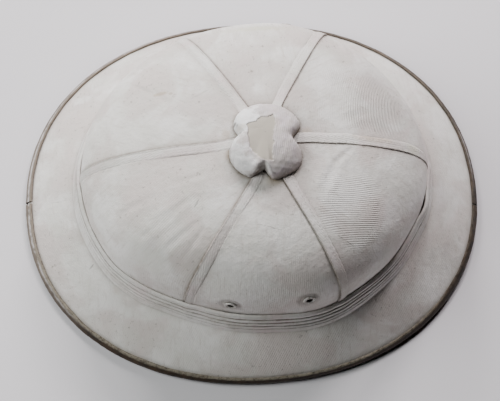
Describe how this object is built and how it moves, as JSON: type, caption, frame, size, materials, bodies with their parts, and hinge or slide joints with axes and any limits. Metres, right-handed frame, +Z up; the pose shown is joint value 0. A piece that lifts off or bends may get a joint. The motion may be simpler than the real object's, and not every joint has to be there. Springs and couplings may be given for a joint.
{
  "type": "pith helmet",
  "caption": "Hollow cloth-covered sun helmet with a seamed dome, pleated band, sloping brim bound in leather, side eyelets and a lobed ventilator cap.",
  "frame": {"origin": "on the surface that the helmet rests on, under the middle of its brim", "axes": "+Z up through the crown, +X along the long axis of the brim, which end is the front can't be told"},
  "size_m": [0.3448, 0.2908, 0.1377],
  "materials": {
    "pith": "matt pith board",
    "cloth": "whitened cotton drill",
    "seam": "felled cotton seam, a little soiled",
    "band": "pleated cotton",
    "leather": "worn brown leather",
    "cap": "whitened cloth, worn through on top",
    "metal": "dull, whitened metal"
  },
  "bodies": {
    "root": {"pith_shell": "pith", "crown_panel_1": "cloth", "crown_panel_2": "cloth", "crown_panel_3": "cloth", "crown_panel_4": "cloth", "crown_panel_5": "cloth", "crown_panel_6": "cloth", "seam_strip_1": "seam", "seam_strip_2": "seam", "seam_strip_3": "seam", "seam_strip_4": "seam", "seam_strip_5": "seam", "seam_strip_6": "seam", "brim_cover": "cloth", "pugaree_band": "band", "brim_binding_near": "leather", "brim_binding_far": "leather", "vent_cap": "cap", "vent_collar": "metal", "eyelet_1": "metal", "eyelet_2": "metal", "eyelet_3": "metal", "eyelet_4": "metal"}
  },
  "joints": []
}
